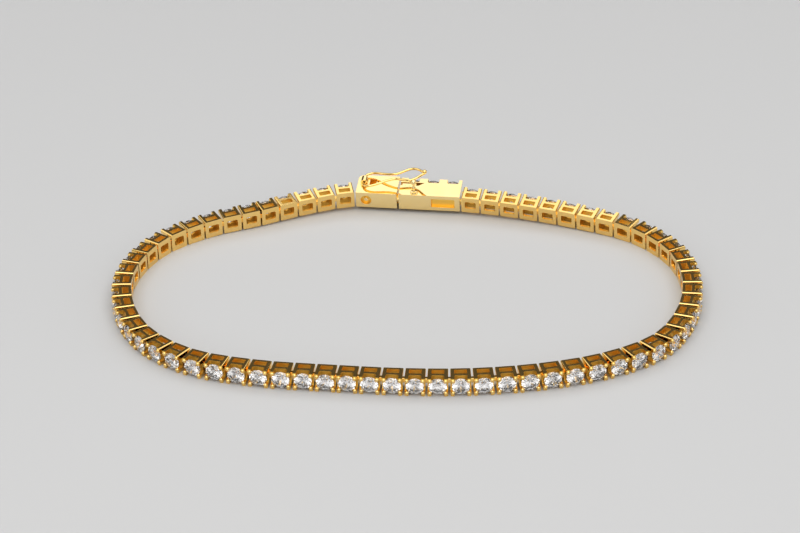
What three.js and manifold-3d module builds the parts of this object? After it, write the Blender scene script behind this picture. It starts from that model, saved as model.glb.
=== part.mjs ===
// A line bracelet in yellow gold. It lies on the edge of its strip as a closed oval loop, with the
// stones facing out and the backs of the links facing the middle. The clasp is at the back.
// Z is up, Y runs from the front of the loop to the clasp, and the sizes are in millimetres.
import * as THREE from 'three';
import { mergeVertices } from 'three/addons/utils/BufferGeometryUtils.js';
import Module from 'manifold-3d';

const wasm = await Module();
wasm.setup();

// The chain: how many links, how far apart, and the size of one link.
const LINKS = 64;
const PITCH = 2.6;
const LINK_GAP = 0.2;
const STRIP_HEIGHT = 2.35;
const LINK_DEPTH = 2.5;

// The walls of a link, from the back face outwards: a window, a bar, and a notch between the prongs.
const WINDOW_LENGTH = 1.5;
const WINDOW_FROM_BACK = 0.31;
const WINDOW_DEPTH = 0.81;
const BAR_DEPTH = 0.34;
const NOTCH_LENGTH = 1.52;
const NOTCH_HEIGHT = 1.36;
const BACK_OPENING_LENGTH = 1.45;
const BACK_OPENING_HEIGHT = 1.05;

// One stone, a round cut with a flat table, eight crown facets and eight pavilion facets.
const STONE_SIDES = 8;
const STONE_DIAMETER = 2.15;
const TABLE_DIAMETER = 1.22;
const CROWN_HEIGHT = 0.32;
const GIRDLE_HEIGHT = 0.06;
const PAVILION_DEPTH = 0.78;
const TABLE_BELOW_TIPS = 0.2;

// The hinge lug that joins a link to the one before it.
const LUG_FROM_BACK = 0.36;
const LUG_DEPTH = 0.5;
const LUG_HEIGHT = 0.6;
const LUG_BITE = 0.25;
const LUG_PLAY = 0.15;

// How the strip lies: it leans in and stands a little off the surface near the clasp.
const CLASP_LEAN = 9;
const CLASP_LIFT = 0.5;
const LIE = [
  { share: 0.0, lean: 10, lift: 1.0 },
  { share: 0.045, lean: 14, lift: 0.7 },
  { share: 0.094, lean: 9, lift: 0.34 },
  { share: 0.15, lean: 3, lift: 0.0 },
  { share: 0.22, lean: 0, lift: 0.0 },
  { share: 0.86, lean: 0, lift: 0.0 },
  { share: 0.95, lean: 6, lift: 0.6 },
  { share: 1.0, lean: 8, lift: 1.0 },
];

// The route of the lower back edge, chosen by hand, clockwise from the clasp's right end.
const ROUTE = [
  [7.4, 19.5], [15.0, 17.5], [22.2, 14.7], [28.9, 10.9], [33.0, 5.0], [34.0, -1.2], [32.9, -8.2],
  [29.3, -14.9], [22.8, -18.9], [15.1, -20.9], [7.4, -21.6], [0.0, -21.3], [-8.4, -20.2],
  [-18.2, -18.5], [-25.7, -15.7], [-31.1, -10.4], [-33.8, -2.8], [-33.7, 4.0], [-30.4, 11.0],
  [-24.8, 15.2], [-18.8, 17.5], [-12.8, 20.0], [-6.4, 21.6],
];

// The clasp: a tongue head at the left, and a box that the tongue's folded spring goes into.
const CLASP_SPAN = 14.0;
const CLASP_DEPTH = 3.9;
const HEAD_LENGTH = 5.45;
const HEAD_CORNER_RADIUS = 0.8;
const HEAD_TO_BOX_GAP = 0.25;
const BOX_WALL = 0.4;
const BOX_HOLLOW_LENGTH = 5.6;
const BOX_HOLLOW_DEPTH = 1.75;
const STONE_CLEARANCE = 0.06;

// The cut in the box's upper side that the thumb press stands in.
const CUT_FROM_BACK = 2.1;
const CUT_SHORT_LENGTH = 2.4;
const CUT_LONG_LENGTH = 3.15;
const CUT_WIDTH = 0.65;
const CUT_DEPTH = 1.05;

// The folded spring and its thumb press.
const LEAF_THICKNESS = 0.3;
const LEAF_WIDTH = 1.2;
const LEAF_FROM_BACK = 0.7;
const LEAF_SPACE = 0.3;
const SPRING_PLAY = 0.35;
const PRESS_LENGTH = 1.9;
const PRESS_FROM_MOUTH = 0.2;
const PRESS_REACH = 0.75;
const PRESS_PAD_DEPTH = 0.4;
const PRESS_BELOW_TOP = 0.1;

// Recesses in the back face of the clasp, and the small slot beside the upper catch.
const ROUND_RECESS_RADIUS = 0.7;
const ROUND_RECESS_FROM_END = 1.35;
const FLAT_RECESS_LENGTH = 3.1;
const FLAT_RECESS_HEIGHT = 1.3;
const FLAT_RECESS_FROM_END = 0.7;
const RECESS_DEPTH = 0.35;
const SLOT_LENGTH = 0.85;
const SLOT_DEPTH = 1.25;
const SLOT_FROM_BACK = 1.85;
const SLOT_FROM_TUBE = 0.7;

// The safety catches: a wire in a figure of eight that turns in a tube on the tongue head.
const CATCH_OPEN = 12;
const CATCH_WIRE_RADIUS = 0.17;
const CATCH_WIRE_SIDES = 5;
const CATCH_LENGTH = 8.3;
const CATCH_WIDTH = 2.66;
const CATCH_WIRE_GAP = 0.14;
const CATCH_CENTRE_FROM_BACK = 2.3;
const CATCH_STEPS = 40;
const THUMB_BEAD_RADIUS = 0.32;
const TUBE_FROM_END = 0.9;
const TUBE_LENGTH = 1.0;
const TUBE_RADIUS = 0.45;
const TUBE_BORE = 0.27;
const TUBE_SIDES = 10;
const CATCH_OUTLINE = [
  { along: 0, across: 0.08 },
  { along: 0, across: 0.5 },
  { along: 0.02, across: 0.88 },
  { along: 0.1, across: 1.04 },
  { along: 0.2, across: 0.94 },
  { along: 0.34, across: 0.62 },
  { along: 0.45, across: 0.45 },
  { along: 0.55, across: 0.45 },
  { along: 0.65, across: 0.72 },
  { along: 0.75, across: 0.94 },
  { along: 0.85, across: 0.8 },
  { along: 0.95, across: 0.3 },
  { along: 1, across: 0 },
];

// The ball peg on the upper side of the box, and the low stud on its lower side.
const PEG_FROM_MOUTH = 2.02;
const PEG_FROM_BACK = 0.55;
const PEG_RISE = 1.7;
const PEG_BALL_RADIUS = 0.38;
const PEG_NECK_RADIUS = 0.14;
const PEG_RING_RADIUS = 0.48;
const PEG_RING_HEIGHT = 0.22;
const STUD_RADIUS = 0.3;
const STUD_HEIGHT = 0.4;
const STUD_FROM_BACK = 2.2;
const ROUND_SIDES = 10;
const BEAD_SIDES = 8;

// Working values: how far a cutter runs past a face, and how close points are to be one point.
const PAST = 1.0;
const WELD = 1e-4;
const ROUTE_SAMPLES = 4000;
const UP = new THREE.Vector3(0, 0, 1);

const gold = new THREE.MeshStandardMaterial({ color: 0xe2b04a, roughness: 0.16, metalness: 1.0 });
const catchGold = new THREE.MeshStandardMaterial({ color: 0xe8bc5c, roughness: 0.2, metalness: 1.0 });
const clear = new THREE.MeshStandardMaterial({ color: 0xe9eef2, roughness: 0.03, metalness: 0.0 });

function signedVolume(points, triangles) {
  const a = new THREE.Vector3();
  const b = new THREE.Vector3();
  const c = new THREE.Vector3();
  let total = 0;
  for (let i = 0; i < triangles.length; i += 3) {
    a.fromArray(points, triangles[i] * 3);
    b.fromArray(points, triangles[i + 1] * 3);
    c.fromArray(points, triangles[i + 2] * 3);
    total += a.dot(b.cross(c));
  }
  return total;
}

// A closed geometry as a solid that can be joined and cut, with its faces pointing out.
function solid(geometry) {
  const bare = geometry.clone();
  bare.deleteAttribute('normal');
  bare.deleteAttribute('uv');
  const merged = mergeVertices(bare, WELD);
  const points = new Float32Array(merged.getAttribute('position').array);
  const corners = merged.getIndex().array;
  const triangles = [];
  for (let i = 0; i < corners.length; i += 3) {
    const [a, b, c] = [corners[i], corners[i + 1], corners[i + 2]];
    if (a !== b && b !== c && c !== a) {
      triangles.push(a, b, c);
    }
  }
  if (signedVolume(points, triangles) < 0) {
    triangles.reverse();
  }
  const triVerts = new Uint32Array(triangles);
  return new wasm.Manifold(new wasm.Mesh({ numProp: 3, vertProperties: points, triVerts }));
}

function geometryOf(body) {
  const mesh = body.getMesh();
  const geometry = new THREE.BufferGeometry();
  const points = new Float32Array(mesh.vertProperties);
  geometry.setAttribute('position', new THREE.BufferAttribute(points, 3));
  geometry.setIndex(new THREE.BufferAttribute(new Uint32Array(mesh.triVerts), 1));
  return geometry;
}

function meshOf(name, geometry, material) {
  const flat = geometry.index ? geometry.toNonIndexed() : geometry.clone();
  flat.computeVertexNormals();
  const mesh = new THREE.Mesh(flat, material);
  mesh.name = name;
  return mesh;
}

// A block between two corners.
function block(x0, x1, y0, y1, z0, z1) {
  const box = new THREE.BoxGeometry(x1 - x0, y1 - y0, z1 - z0);
  box.translate((x0 + x1) / 2, (y0 + y1) / 2, (z0 + z1) / 2);
  return solid(box);
}

// An outline in X and Y, carried from one height to another.
function slab(shape, z0, z1) {
  const plate = new THREE.ExtrudeGeometry(shape, { depth: z1 - z0, bevelEnabled: false, curveSegments: 5 });
  plate.translate(0, 0, z0);
  return solid(plate);
}

// A round post that stands along Z.
function post(radius, x, y, z0, z1) {
  const round = new THREE.CylinderGeometry(radius, radius, z1 - z0, ROUND_SIDES);
  round.rotateX(Math.PI / 2);
  round.translate(x, y, (z0 + z1) / 2);
  return solid(round);
}

// A round hole or rod that runs along Y.
function rod(radius, sides, x, z, y0, y1) {
  const round = new THREE.CylinderGeometry(radius, radius, y1 - y0, sides);
  round.translate(x, (y0 + y1) / 2, z);
  return solid(round);
}

// A cut stone whose table faces out along Y. The play makes it larger all round, as a cutter.
function stoneGeometry(x, tips, z, play) {
  const table = tips - TABLE_BELOW_TIPS;
  const girdleTop = table - CROWN_HEIGHT;
  const girdleBottom = girdleTop - GIRDLE_HEIGHT;
  const profile = [
    new THREE.Vector2(0, girdleBottom - PAVILION_DEPTH - play),
    new THREE.Vector2(STONE_DIAMETER / 2 + play, girdleBottom - play),
    new THREE.Vector2(STONE_DIAMETER / 2 + play, girdleTop + play),
    new THREE.Vector2(TABLE_DIAMETER / 2 + play, table + play),
    new THREE.Vector2(0, table + play),
  ];
  const stone = new THREE.LatheGeometry(profile, STONE_SIDES, Math.PI / STONE_SIDES);
  stone.translate(x, 0, z);
  return stone;
}

// The hinge lug of a link, at its start. The play makes it larger all round, as a cutter.
function lug(play) {
  const middle = STRIP_HEIGHT / 2;
  const reach = LINK_GAP / 2 + LUG_BITE + play;
  const back = LUG_FROM_BACK - play;
  const front = LUG_FROM_BACK + LUG_DEPTH + play;
  const half = LUG_HEIGHT / 2 + play;
  return block(-reach, reach, back, front, middle - half, middle + half);
}

// One link with its stone, from x = 0 to x = PITCH, its back face at y = 0.
function linkBody() {
  const start = LINK_GAP / 2;
  const end = PITCH - LINK_GAP / 2;
  const middle = PITCH / 2;
  const centre = STRIP_HEIGHT / 2;
  const windowEnd = WINDOW_FROM_BACK + WINDOW_DEPTH;
  const notchStart = windowEnd + BAR_DEPTH;
  const openX = BACK_OPENING_LENGTH / 2;
  const openZ = BACK_OPENING_HEIGHT / 2;
  const windowX = WINDOW_LENGTH / 2;
  const notchX = NOTCH_LENGTH / 2;
  const notchZ = NOTCH_HEIGHT / 2;
  const tips = LINK_DEPTH + PAST;
  const top = STRIP_HEIGHT + PAST;
  return block(start, end, 0, LINK_DEPTH, 0, STRIP_HEIGHT)
    .subtract(block(middle - openX, middle + openX, -PAST, windowEnd, centre - openZ, centre + openZ))
    .subtract(block(middle - windowX, middle + windowX, WINDOW_FROM_BACK, windowEnd, -PAST, top))
    .subtract(block(middle - notchX, middle + notchX, notchStart, tips, -PAST, top))
    .subtract(block(-PAST, PITCH + PAST, notchStart, tips, centre - notchZ, centre + notchZ))
    .add(solid(stoneGeometry(middle, LINK_DEPTH, centre, 0)));
}

// Steps of one pitch along the route, as far as the last link's end.
function walk(samples, scale) {
  const joints = [samples[0].clone().multiplyScalar(scale)];
  let at = 0;
  while (joints.length <= LINKS) {
    const from = joints[joints.length - 1];
    let next = samples[at % samples.length].clone().multiplyScalar(scale);
    let before = next;
    while (next.distanceTo(from) < PITCH) {
      at += 1;
      before = next;
      next = samples[at % samples.length].clone().multiplyScalar(scale);
    }
    const near = before.distanceTo(from);
    const far = next.distanceTo(from);
    joints.push(before.clone().lerp(next, (PITCH - near) / (far - near)));
  }
  return joints;
}

// The route is drawn larger or smaller until the links and the clasp just close it.
function jointsOfChain() {
  const points = ROUTE.map(([x, y]) => new THREE.Vector3(x, y, 0));
  const curve = new THREE.CatmullRomCurve3(points, true, 'centripetal');
  const samples = curve.getPoints(ROUTE_SAMPLES).slice(0, ROUTE_SAMPLES);
  const wanted = LINKS * PITCH + CLASP_SPAN;
  let small = (wanted / curve.getLength()) * 0.97;
  let large = (wanted / curve.getLength()) * 1.05;
  while (large - small > Number.EPSILON * wanted) {
    const scale = (small + large) / 2;
    const joints = walk(samples, scale);
    if (joints[LINKS].distanceTo(joints[0]) < CLASP_SPAN) {
      small = scale;
    } else {
      large = scale;
    }
  }
  return walk(samples, large);
}

function lieAt(share) {
  const after = LIE.findIndex((row) => row.share >= share);
  const b = LIE[after];
  const a = LIE[Math.max(after - 1, 0)];
  const part = b.share > a.share ? (share - a.share) / (b.share - a.share) : 0;
  const lean = a.lean + (b.lean - a.lean) * part;
  const lift = a.lift + (b.lift - a.lift) * part;
  return { lean, lift: lift * CLASP_LIFT };
}

// The place of a piece that runs from one joint to the next: X along it, Y out of the loop.
function placeBetween(from, to, leanDegrees) {
  const along = to.clone().sub(from).normalize();
  const out = UP.clone().cross(along).normalize();
  const up = along.clone().cross(out);
  const lean = THREE.MathUtils.degToRad(leanDegrees);
  const leantOut = out.clone().multiplyScalar(Math.cos(lean)).addScaledVector(up, Math.sin(lean));
  const leantUp = along.clone().cross(leantOut);
  return new THREE.Matrix4().makeBasis(along, leantOut, leantUp).setPosition(from);
}

const joints = jointsOfChain();
joints.forEach((joint, i) => {
  joint.z = lieAt(i / LINKS).lift;
});

// Links from one number to another, fused by their lugs into one body.
function chainHalf(name, first, last) {
  const link = geometryOf(linkBody());
  const linkLug = geometryOf(lug(0));
  const bodies = [];
  for (let i = first; i < last; i += 1) {
    const lean = lieAt((i + 0.5) / LINKS).lean;
    const place = placeBetween(joints[i], joints[i + 1], lean);
    bodies.push(solid(link.clone().applyMatrix4(place)));
    bodies.push(solid(linkLug.clone().applyMatrix4(place)));
  }
  let half = wasm.Manifold.union(bodies);
  const atClasp = last === LINKS;
  const lastPlace = placeBetween(joints[last - 1], joints[last], lieAt((last - 0.5) / LINKS).lean);
  const endLug = geometryOf(lug(0)).translate(PITCH, 0, 0).applyMatrix4(lastPlace);
  if (atClasp) {
    half = half.add(solid(endLug));
  } else {
    const next = placeBetween(joints[last], joints[last + 1], lieAt((last + 0.5) / LINKS).lean);
    half = half.subtract(solid(geometryOf(lug(LUG_PLAY)).applyMatrix4(next)));
  }
  return meshOf(name, geometryOf(half), gold);
}

// The clasp is drawn with x = 0 at its left end, its back face at y = 0 and its lower side at z = 0.
const CLASP_MIDDLE = STRIP_HEIGHT / 2;
const BOX_START = LINK_GAP / 2 + HEAD_LENGTH + HEAD_TO_BOX_GAP;
const BOX_END = CLASP_SPAN - LINK_GAP / 2;
const TUBE_X = LINK_GAP / 2 + TUBE_FROM_END;
const CATCH_RISE = CATCH_WIRE_GAP + CATCH_WIRE_RADIUS;
const NOTCH_START = CLASP_DEPTH - (LINK_DEPTH - WINDOW_FROM_BACK - WINDOW_DEPTH - BAR_DEPTH);
const BOX_STONES = Math.floor((BOX_END - BOX_START) / PITCH);

// The pocket in an end of the clasp that takes the chain's end lug with play.
function lugPocket(x) {
  const play = LUG_PLAY + 0.1;
  return geometryOf(lug(play)).translate(x, 0, 0);
}

// A tube for a catch's wire, on its foot. The side is 1 for the upper one and -1 for the lower one.
function tube(side) {
  const face = side > 0 ? STRIP_HEIGHT : 0;
  const axis = face + side * CATCH_RISE;
  const y0 = CATCH_CENTRE_FROM_BACK - TUBE_LENGTH / 2;
  const y1 = CATCH_CENTRE_FROM_BACK + TUBE_LENGTH / 2;
  const inside = face - side * CATCH_WIRE_GAP;
  const low = Math.min(inside, axis);
  const high = Math.max(inside, axis);
  const foot = block(TUBE_X - TUBE_RADIUS, TUBE_X + TUBE_RADIUS, y0, y1, low, high);
  return foot.add(rod(TUBE_RADIUS, TUBE_SIDES, TUBE_X, axis, y0, y1));
}

function tubeBore(side) {
  const face = side > 0 ? STRIP_HEIGHT : 0;
  const y0 = CATCH_CENTRE_FROM_BACK - TUBE_LENGTH / 2 - PAST / 2;
  const y1 = CATCH_CENTRE_FROM_BACK + TUBE_LENGTH / 2 + PAST / 2;
  return rod(TUBE_BORE, TUBE_SIDES, TUBE_X, face + side * CATCH_RISE, y0, y1);
}

// The spring is a leaf that folds back over itself, with a press that rises into the box's cut.
function spring() {
  const foldEnd = BOX_START + BOX_HOLLOW_LENGTH - SPRING_PLAY;
  const lower = CLASP_MIDDLE - LEAF_SPACE / 2 - LEAF_THICKNESS;
  const upper = CLASP_MIDDLE + LEAF_SPACE / 2;
  const y0 = LEAF_FROM_BACK;
  const y1 = LEAF_FROM_BACK + LEAF_WIDTH;
  const pressStart = BOX_START + PRESS_FROM_MOUTH;
  const pressEnd = pressStart + PRESS_LENGTH;
  const armBottom = upper + LEAF_THICKNESS / 2;
  const armTop = armBottom + LEAF_THICKNESS;
  const padEnd = y1 + PRESS_REACH;
  const padTop = STRIP_HEIGHT - PRESS_BELOW_TOP;
  return block(BOX_START - PAST, foldEnd, y0, y1, lower, lower + LEAF_THICKNESS)
    .add(block(foldEnd - LEAF_THICKNESS, foldEnd, y0, y1, lower, upper + LEAF_THICKNESS))
    .add(block(pressStart, foldEnd, y0, y1, upper, upper + LEAF_THICKNESS))
    .add(block(pressStart, pressEnd, y0, padEnd, armBottom, armTop))
    .add(block(pressStart, pressEnd, padEnd - PRESS_PAD_DEPTH, padEnd, armBottom, padTop));
}

function claspTongue() {
  const start = LINK_GAP / 2;
  const end = start + HEAD_LENGTH;
  const plan = new THREE.Shape();
  plan.moveTo(start, 0);
  plan.lineTo(end, 0);
  plan.lineTo(end, CLASP_DEPTH);
  plan.lineTo(start + HEAD_CORNER_RADIUS, CLASP_DEPTH);
  const cornerY = CLASP_DEPTH - HEAD_CORNER_RADIUS;
  plan.absarc(start + HEAD_CORNER_RADIUS, cornerY, HEAD_CORNER_RADIUS, Math.PI / 2, Math.PI, false);
  plan.lineTo(start, 0);
  const slotX = TUBE_X + SLOT_FROM_TUBE;
  const slotTop = STRIP_HEIGHT + PAST;
  const slotEnd = slotX + SLOT_LENGTH;
  const slotFront = SLOT_FROM_BACK + SLOT_DEPTH;
  const recessX = start + ROUND_RECESS_FROM_END;
  const recess = rod(ROUND_RECESS_RADIUS, ROUND_SIDES, recessX, CLASP_MIDDLE, -PAST, RECESS_DEPTH);
  return slab(plan, 0, STRIP_HEIGHT)
    .add(spring())
    .add(tube(1))
    .add(tube(-1))
    .subtract(tubeBore(1))
    .subtract(tubeBore(-1))
    .subtract(recess)
    .subtract(block(slotX, slotEnd, SLOT_FROM_BACK, slotFront, CLASP_MIDDLE, slotTop))
    .subtract(solid(lugPocket(0)));
}

function ballPeg() {
  const x = BOX_START + PEG_FROM_MOUTH;
  const ball = new THREE.SphereGeometry(PEG_BALL_RADIUS, ROUND_SIDES, ROUND_SIDES / 2);
  ball.translate(x, PEG_FROM_BACK, STRIP_HEIGHT + PEG_RISE);
  const ringTop = STRIP_HEIGHT + PEG_RING_HEIGHT;
  return post(PEG_RING_RADIUS, x, PEG_FROM_BACK, CLASP_MIDDLE + PEG_RISE / 2, ringTop)
    .add(post(PEG_NECK_RADIUS, x, PEG_FROM_BACK, ringTop - PEG_RING_HEIGHT / 2, STRIP_HEIGHT + PEG_RISE))
    .add(solid(ball));
}

function boxStoneX(number) {
  return CLASP_SPAN - (number + 0.5) * PITCH;
}

function claspBox() {
  const hollowEnd = BOX_START + BOX_HOLLOW_LENGTH;
  const top = STRIP_HEIGHT + PAST;
  const tips = CLASP_DEPTH + PAST;
  const cut = new THREE.Shape();
  cut.moveTo(BOX_START - PAST, CUT_FROM_BACK);
  cut.lineTo(BOX_START + CUT_SHORT_LENGTH, CUT_FROM_BACK);
  cut.lineTo(BOX_START + CUT_LONG_LENGTH, CUT_FROM_BACK + CUT_WIDTH);
  cut.lineTo(BOX_START - PAST, CUT_FROM_BACK + CUT_WIDTH);
  const recessEnd = BOX_END - FLAT_RECESS_FROM_END;
  const recessStart = recessEnd - FLAT_RECESS_LENGTH;
  const recessLow = CLASP_MIDDLE - FLAT_RECESS_HEIGHT / 2;
  const recessHigh = CLASP_MIDDLE + FLAT_RECESS_HEIGHT / 2;
  const studX = BOX_START + PEG_FROM_MOUTH;
  const hollowBack = BOX_WALL;
  const hollowFront = BOX_WALL + BOX_HOLLOW_DEPTH;
  const notchLow = CLASP_MIDDLE - NOTCH_HEIGHT / 2;
  const notchHigh = CLASP_MIDDLE + NOTCH_HEIGHT / 2;
  const hollowTop = STRIP_HEIGHT - BOX_WALL;
  let box = block(BOX_START, BOX_END, 0, CLASP_DEPTH, 0, STRIP_HEIGHT)
    .subtract(block(BOX_START - PAST, hollowEnd, hollowBack, hollowFront, BOX_WALL, hollowTop))
    .subtract(block(BOX_START - PAST, BOX_END + PAST, NOTCH_START, tips, notchLow, notchHigh))
    .subtract(block(recessStart, recessEnd, -PAST, RECESS_DEPTH, recessLow, recessHigh));
  for (let number = 0; number < BOX_STONES; number += 1) {
    const x = boxStoneX(number);
    const half = NOTCH_LENGTH / 2;
    box = box
      .subtract(block(x - half, x + half, NOTCH_START, tips, -PAST, top))
      .subtract(solid(stoneGeometry(x, CLASP_DEPTH, CLASP_MIDDLE, STONE_CLEARANCE)));
  }
  return box
    .subtract(slab(cut, STRIP_HEIGHT - CUT_DEPTH, top))
    .add(ballPeg())
    .add(post(STUD_RADIUS, studX, STUD_FROM_BACK, -STUD_HEIGHT, BOX_WALL / 2))
    .subtract(solid(lugPocket(CLASP_SPAN)));
}

// A catch: an open wire whose two ends turn in the tube, with a thumb bead where the far loop closes.
function catchGeometry() {
  const half = CATCH_OUTLINE.map(({ along, across }) => (
    new THREE.Vector3(along * CATCH_LENGTH, (across * CATCH_WIDTH) / 2, 0)
  ));
  const back = half.slice(0, -1).reverse().map((point) => new THREE.Vector3(point.x, -point.y, 0));
  const path = new THREE.CatmullRomCurve3([...half, ...back], false, 'centripetal');
  const section = new THREE.Shape();
  for (let i = 0; i < CATCH_WIRE_SIDES; i += 1) {
    const turn = (i / CATCH_WIRE_SIDES) * 2 * Math.PI;
    const x = CATCH_WIRE_RADIUS * Math.cos(turn);
    const y = CATCH_WIRE_RADIUS * Math.sin(turn);
    if (i === 0) {
      section.moveTo(x, y);
    } else {
      section.lineTo(x, y);
    }
  }
  section.closePath();
  const bend = { steps: CATCH_STEPS, extrudePath: path, bevelEnabled: false };
  const wire = new THREE.ExtrudeGeometry(section, bend);
  const bead = new THREE.SphereGeometry(THUMB_BEAD_RADIUS, BEAD_SIDES, BEAD_SIDES / 2);
  bead.translate(CATCH_LENGTH, 0, THUMB_BEAD_RADIUS - CATCH_WIRE_RADIUS);
  return geometryOf(solid(wire).add(solid(bead)));
}

const bracelet = new THREE.Group();
const halfway = Math.round(LINKS / 2);
bracelet.add(chainHalf('chain_right', 0, halfway));
bracelet.add(chainHalf('chain_left', halfway, LINKS));

const clasp = new THREE.Group();
clasp.applyMatrix4(placeBetween(joints[LINKS], joints[0], CLASP_LEAN));
clasp.add(meshOf('clasp_tongue', geometryOf(claspTongue()), gold));
clasp.add(meshOf('clasp_box', geometryOf(claspBox()), gold));
for (let number = 0; number < BOX_STONES; number += 1) {
  const stone = stoneGeometry(boxStoneX(number), CLASP_DEPTH, CLASP_MIDDLE, 0);
  clasp.add(meshOf(`clasp_stone_${number + 1}`, geometryOf(solid(stone)), clear));
}

const upperCatch = meshOf('catch_upper', catchGeometry(), catchGold);
upperCatch.position.set(TUBE_X, CATCH_CENTRE_FROM_BACK, STRIP_HEIGHT + CATCH_RISE);
upperCatch.rotation.y = -THREE.MathUtils.degToRad(CATCH_OPEN);
clasp.add(upperCatch);

const lowerCatch = meshOf('catch_lower', catchGeometry(), catchGold);
lowerCatch.position.set(TUBE_X, CATCH_CENTRE_FROM_BACK, -CATCH_RISE);
lowerCatch.rotation.x = Math.PI;
clasp.add(lowerCatch);
bracelet.add(clasp);

// The middle of the loop's own box, at the surface that it rests on, is the origin.
bracelet.updateMatrixWorld(true);
const bounds = new THREE.Box3().setFromObject(bracelet, true);
const centre = bounds.getCenter(new THREE.Vector3());
bracelet.position.set(-centre.x, -centre.y, -bounds.min.z);

export default bracelet;
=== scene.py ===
# %% [markdown]
# # A line bracelet in yellow gold
# Sixty-four square links, each with a round stone, stand on the edge of the strip as one closed oval.
# The frame holds the solids at their real size. This lesson replaces them with finished pieces: the
# links with round prong beads, stones with every facet cut, a polished clasp and two bent-wire catches.

# %% Load the frame
import math
import bpy
from mathutils import Matrix, Vector


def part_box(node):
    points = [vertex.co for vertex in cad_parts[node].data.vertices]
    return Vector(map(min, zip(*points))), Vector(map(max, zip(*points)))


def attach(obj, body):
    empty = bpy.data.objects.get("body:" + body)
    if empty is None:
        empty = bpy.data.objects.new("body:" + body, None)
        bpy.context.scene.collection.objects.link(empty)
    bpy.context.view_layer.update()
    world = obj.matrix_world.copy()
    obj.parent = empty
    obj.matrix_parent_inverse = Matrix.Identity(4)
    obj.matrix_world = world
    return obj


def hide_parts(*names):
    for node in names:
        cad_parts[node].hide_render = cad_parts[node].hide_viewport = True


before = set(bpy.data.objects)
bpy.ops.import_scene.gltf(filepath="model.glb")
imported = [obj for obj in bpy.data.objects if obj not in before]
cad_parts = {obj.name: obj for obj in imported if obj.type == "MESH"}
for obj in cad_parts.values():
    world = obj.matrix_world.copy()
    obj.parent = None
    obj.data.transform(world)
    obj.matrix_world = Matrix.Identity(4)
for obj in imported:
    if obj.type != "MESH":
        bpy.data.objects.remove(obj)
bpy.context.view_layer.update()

# %% [markdown]
# ## The strip
# A jeweller thinks of a link first: its pitch along the strip, its height across it and its depth from
# the back face to the prong tips. They are written once, in millimetres, and everything else follows
# them. The pieces are modelled in millimetres, because Blender's edit tools behave best on numbers near
# one, and are made a thousand times smaller when they are put in their places.

# %% Sizes of the strip
MM = 0.001
LINKS = 64
PITCH = 2.6
LINK_GAP = 0.2
STRIP_HEIGHT = 2.35
LINK_DEPTH = 2.5
MIDDLE_HEIGHT = STRIP_HEIGHT / 2
print("the links laid out straight are", LINKS * PITCH, "mm long")

# %% [markdown]
# ## Where the links stand
# The loop isn't a plain ellipse: it has tighter turns at its two ends and a slight wave to the left of
# the clasp. It could be drawn by hand as a curve object, but the links have to end exactly where the
# clasp begins, and that is a sum. So the route is a smooth closed curve through a few given points. The
# curve is the centripetal Catmull-Rom kind, which meets its points without overshooting.

# %% Points of the route
ROUTE = [
    (7.4, 19.5), (15.0, 17.5), (22.2, 14.7), (28.9, 10.9), (33.0, 5.0), (34.0, -1.2), (32.9, -8.2),
    (29.3, -14.9), (22.8, -18.9), (15.1, -20.9), (7.4, -21.6), (0.0, -21.3), (-8.4, -20.2),
    (-18.2, -18.5), (-25.7, -15.7), (-31.1, -10.4), (-33.8, -2.8), (-33.7, 4.0), (-30.4, 11.0),
    (-24.8, 15.2), (-18.8, 17.5), (-12.8, 20.0), (-6.4, 21.6),
]
STEPS_PER_SPAN = 174


def on_curve(points, part):
    """A point between the second and third of four points, on a curve that heeds all four."""
    a, b, c, d = points
    first, second, third = (math.sqrt((q - p).length) for p, q in ((a, b), (b, c), (c, d)))
    leave = ((b - a) / first - (c - a) / (first + second) + (c - b) / second) * second
    arrive = ((c - b) / second - (d - b) / (second + third) + (d - c) / third) * second
    square = 3 * (c - b) - 2 * leave - arrive
    cube = 2 * (b - c) + leave + arrive
    return b + leave * part + square * part ** 2 + cube * part ** 3

# %% Draw the curve through them
route_samples = []
for span in range(len(ROUTE)):
    four = [Vector((*ROUTE[(span + k) % len(ROUTE)], 0)) for k in (-1, 0, 1, 2)]
    route_samples += [on_curve(four, step / STEPS_PER_SPAN) for step in range(STEPS_PER_SPAN)]
print("the route has", len(route_samples), "samples")

# %% [markdown]
# ## Stepping along it
# A real chain fills a curve one pitch at a time, each link a straight step from joint to joint, and so
# do the links here. An Array and a Curve modifier would lay them too, but would bend each link. The
# clasp closes the loop with a longer step. The route is made a little larger or smaller, by halving the
# doubt again and again, until the gap that the last link leaves is the clasp's.

# %% Step along the route
CLASP_SPAN = 14.0
HALVINGS = 40


def walk(scale):
    """Steps of one pitch along the route, as far as the last link's end."""
    pitch = PITCH / scale
    steps = [route_samples[0].copy()]
    at = 0
    while len(steps) <= LINKS:
        here = steps[-1]
        ahead = route_samples[at % len(route_samples)]
        before = ahead
        while (ahead - here).length < pitch:
            at += 1
            before = ahead
            ahead = route_samples[at % len(route_samples)]
        near = (before - here).length
        far = (ahead - here).length
        steps.append(before.lerp(ahead, (pitch - near) / (far - near)))
    return [step * scale for step in steps]


small, large = 0.9, 1.1
for halving in range(HALVINGS):
    middle = (small + large) / 2
    steps = walk(middle)
    if (steps[LINKS] - steps[0]).length < CLASP_SPAN:
        small = middle
    else:
        large = middle
joints = walk(large)
print("the route is drawn", round(large, 4), "times its size")

# %% [markdown]
# ## Lean and lift
# The strip doesn't stand quite upright all the way round. The clasp is deeper than the links, leans in
# and is carried by its lower catch, and its neighbours follow it down to the surface. Each link could
# be turned by hand, but a short table is easier to change: it says how much at which share of the way
# round, and what lies between two rows is blended.

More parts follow.
